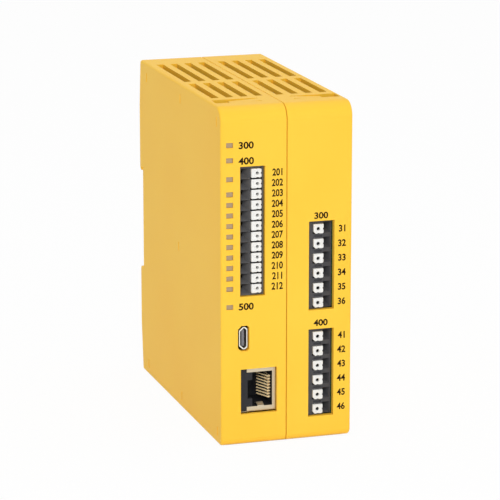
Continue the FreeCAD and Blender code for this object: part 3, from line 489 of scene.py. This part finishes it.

# %% [markdown]
# ## Latch spring
#
# A strip of spring steel, folded to and fro, stands on a ledge behind the rail latch
# and pushes it up. When the latch comes down, its folds close. A rigid solid can't do
# that, so a copy of its mesh stands for it.

# %% Latch spring
strip_mesh = nodes["latch_spring"].data.copy()
strip_mesh.materials.clear()
strip_mesh.materials.append(finishes["spring_steel"])
strip = bpy.data.objects.new("latch_spring_strip", strip_mesh)
scene.collection.objects.link(strip)
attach(strip, "housing")
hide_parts("latch_spring")
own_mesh(strip)

# %% [markdown]
# ## Walls between the narrow buttons
#
# The buttons of the 12-pole plug stand half a millimetre apart, and a thin wall of the
# plug fills each gap. The walls are too thin to matter to the solids, but they draw a
# dark line between the white caps: they are black, not the plug's charcoal, as painted
# shade for the dark of the deep gaps. Each is a slab in mesh code, from the floor of the
# trough to just behind the front of the caps, with its front edges chamfered. It rides
# on the plug, so that a button can press in past it.

# %% Black plastic as painted shade, for slits and holes
shade_black_plastic = moulded("painted_shade_black_matt", "#1B1B1D", 0.60, 1.53, 0.3, 0.20, 0.1)
print("slits and holes:", shade_black_plastic.name)

# %% A piece in mesh code


def finished(name, form, material, body):
    """Turn a mesh in the making into a piece that rides on a CAD body."""
    bmesh.ops.recalc_face_normals(form, faces=form.faces)
    mesh = bpy.data.meshes.new(name)
    form.to_mesh(mesh)
    form.free()
    mesh.materials.append(material)
    piece = bpy.data.objects.new(name, mesh)
    scene.collection.objects.link(piece)
    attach(piece, body)
    return piece


print("helper: finished")

# %% One wall
# The trough that the buttons stand in, and its play beside them, are the plug's own. A
# wall keeps its play from the buttons above and below it, lies behind their faces by its
# setback and runs into the plug by its root.
trough_depth = 3.95 * MM
trough_play = 0.15 * MM
wall_play = 0.04 * MM
wall_setback = 0.12 * MM
wall_root = 0.05 * MM
wall_chamfer = 0.05 * MM
slab_faces = ((0, 1, 2, 3), (4, 5, 6, 7), (0, 1, 5, 4), (1, 2, 6, 5), (2, 3, 7, 6), (3, 0, 4, 7))


def gap_wall(name, upper, lower):
    """A black wall, as painted shade, of the narrow plug between two neighbouring buttons; gives
    its thickness in mm.
    """
    upper_low, upper_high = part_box(upper)
    lower_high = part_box(lower)[1]
    x0 = upper_low.x - trough_play - wall_root
    x1 = upper_high.x + trough_play
    z0 = lower_high.z + wall_play
    z1 = upper_low.z - wall_play
    back = low.y + trough_depth + wall_root
    face = upper_low.y + wall_setback
    form = bmesh.new()
    corners = [form.verts.new((x, y, z)) for y in (back, face)
               for x, z in ((x0, z0), (x1, z0), (x1, z1), (x0, z1))]
    for ring in slab_faces:
        form.faces.new([corners[i] for i in ring])
    rim = [edge for edge in form.edges if all(v in corners[4:] for v in edge.verts)]
    bmesh.ops.bevel(form, geom=rim, offset=wall_chamfer, segments=1, affect="EDGES")
    finished(name, form, shade_black_plastic, "signal_plug")
    return (z1 - z0) / MM


print("trough:", trough_depth / MM, "mm deep")

# %% Walls between buttons
poles = {"signal": 12, "upper": 6, "lower": 6}
wall_thickness = []
for pole in range(1, poles["signal"]):
    upper = "signal_button_%02d" % pole
    lower = "signal_button_%02d" % (pole + 1)
    wall_thickness.append(gap_wall("signal_wall_%02d" % pole, upper, lower))
print("walls:", len(wall_thickness), "each", round(wall_thickness[0], 2), "mm thick")

# %% [markdown]
# ## Test holes in the buttons
#
# A test probe goes through a hole in each button to the clamp behind it, where no light
# reaches. The solid's hole is blind, and its white floor would brighten it, so a small
# black plug with a dished face sits deep in each hole as painted shade. It is a ring of
# points swept in three steps: the back, the rim and the dish.

# %% One dark end
ring_points = 24
dish_share = 0.5
dish_depth = 0.15 * MM


def middle_height(node):
    """How high the middle of a CAD node's box is."""
    node_low, node_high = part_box(node)
    return (node_low.z + node_high.z) / 2


def hole_plug(button, across, radius, rim_depth, back_depth):
    """The dark end of one button's test hole, black as painted shade."""
    button_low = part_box(button)[0]
    x = button_low.x + across
    z = middle_height(button)
    turns = [2 * math.pi * step / ring_points for step in range(ring_points)]
    steps = ((radius, back_depth), (radius, rim_depth),
             (dish_share * radius, rim_depth + dish_depth))
    form = bmesh.new()
    rings = []
    for r, depth in steps:
        y = button_low.y + depth
        rings.append([form.verts.new((x + r * math.cos(a), y, z + r * math.sin(a)))
                      for a in turns])
    for ring, following in zip(rings, rings[1:]):
        for step in range(ring_points):
            form.faces.new((ring[step], ring[step - 1], following[step - 1], following[step]))
    form.faces.new(rings[0])
    form.faces.new(rings[-1])
    return finished("test_hole_" + button, form, shade_black_plastic, body_of(nodes[button])[0])


print("a dark end has", ring_points, "points round")

# %% Test holes
# In mm: the hole's middle from the button's left edge, the plug's radius, and how far
# its rim and its back lie behind the button's face.
hole_sizes = {
    "signal": (2.08, 0.26, 1.05, 1.38),
    "upper": (1.63, 0.57, 0.70, 3.18),
    "lower": (1.63, 0.57, 0.70, 3.18),
}
holes = []
for family, sizes in hole_sizes.items():
    for pole in range(1, poles[family] + 1):
        holes.append(hole_plug("%s_button_%02d" % (family, pole), *[size * MM for size in sizes]))
print("test holes:", len(holes))

# %% [markdown]
# ## Printed numbers
#
# The marks beside the terminals and lights are pad-printed in dark ink. They are plain
# generic numbers. Each is a text curve, thickened a little because Blender's own letters
# are thin, and turned to a mesh that stands a hundredth of a millimetre off the plastic.
# The mesh is scaled to the height that is asked for, and made narrower or wider by a
# share. Its place comes from the button, the light or the plug beside it.

# %% Ink
ink_grain = 0.25 * MM
ink, tree = new_material("pad_printing_ink_dark_brown")
place = add_node(tree, "ShaderNodeTexCoord")
specks = add_node(tree, "ShaderNodeTexNoise", values={"Scale": 1 / ink_grain},
                  links={"Vector": place.outputs["Object"]})
tone = add_node(tree, "ShaderNodeValToRGB", links={"Fac": specks.outputs["Fac"]})
tone.color_ramp.elements[0].color = linear("#140A03")
tone.color_ramp.elements[1].color = linear("#1E1207")
surface = add_node(tree, "ShaderNodeBsdfPrincipled",
                   values={"Roughness": 0.6, "Specular IOR Level": 0.1},
                   links={"Base Color": tone.outputs["Color"]})
add_node(tree, "ShaderNodeOutputMaterial", links={"Surface": surface.outputs[0]})
print("ink grain:", ink_grain / MM, "mm")

# %% One printed number
# A figure stands about 0.7 of the text size tall, so the mesh needs next to no scaling
# and its strokes grow by just what is asked for.
ink_thickness = 0.01 * MM
cap_share = 0.7
stroke_growth = 0.10 * MM


def printed(name, text, x_middle, z_middle, cap_height, width_share):
    """A printed number on the front, centred on the place that it is given."""
    curve = bpy.data.curves.new(name, "FONT")
    curve.body = text
    curve.size = cap_height / cap_share
    curve.offset = stroke_growth
    curve.extrude = ink_thickness / 2
    curve.resolution_u = 4
    letters = bpy.data.objects.new(name, curve)
    scene.collection.objects.link(letters)
    bpy.context.view_layer.update()
    mesh = bpy.data.meshes.new_from_object(letters)
    bpy.data.objects.remove(letters)
    xs = [v.co.x for v in mesh.vertices]
    ys = [v.co.y for v in mesh.vertices]
    grow = cap_height / (max(ys) - min(ys))
    for v in mesh.vertices:
        x = x_middle + (v.co.x - (min(xs) + max(xs)) / 2) * grow * width_share
        z = z_middle + (v.co.y - (min(ys) + max(ys)) / 2) * grow
        v.co = (x, low.y - ink_thickness / 2 - v.co.z, z)
    mesh.flip_normals()
    mesh.materials.clear()
    mesh.materials.append(ink)
    number = bpy.data.objects.new(name, mesh)
    scene.collection.objects.link(number)
    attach(number, "housing")
    return number


print("ink stands", 1000 * ink_thickness / MM, "micrometres off the front")

# %% Numbers beside the terminals
# The first number and the width share, then in mm: the column's middle from the left
# edge, its rise over the first button's middle, the rise gained at each further button
# and the height of a figure.
columns = {
    "signal": (201, 0.80, 19.20, 0.16, 0.04, 2.45),
    "upper": (31, 0.92, 41.55, -0.10, 0.08, 2.35),
    "lower": (41, 0.92, 41.55, 0.20, 0.08, 2.35),
}
made = []
for family, (first, width_share, across, rise, drift, cap_height) in columns.items():
    for step in range(poles[family]):
        pole = "%02d" % (step + 1)
        z_middle = middle_height("%s_button_%s" % (family, pole)) + (rise + drift * step) * MM
        made.append(printed("mark_%s_%s" % (family, pole), str(first + step),
                            low.x + across * MM, z_middle, cap_height * MM, width_share))
print("terminal numbers:", len(made))

# %% Numbers beside the lights and over the plugs
wide_share = 1.1
light_column = low.x + 8.6 * MM
light_cap = 2.4 * MM
plug_column = low.x + 34.3 * MM
plug_cap = 2.25 * MM
guide_low, guide_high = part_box("light_guide")
light_rows = {
    "300": guide_high.z - 1.0 * MM,
    "400": guide_high.z - 6.15 * MM,
    "500": guide_low.z + 0.7 * MM,
}
for text, row in light_rows.items():
    made.append(printed("mark_light_" + text, text, light_column, row, light_cap, wide_share))
for text, plug, rise in (("300", "upper_plug", 2.05 * MM), ("400", "lower_plug", 2.3 * MM)):
    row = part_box(plug)[1].z + rise
    made.append(printed("mark_over_" + plug, text, plug_column, row, plug_cap, wide_share))
print("numbers:", len(made))

# %% Finish
print("scene built")
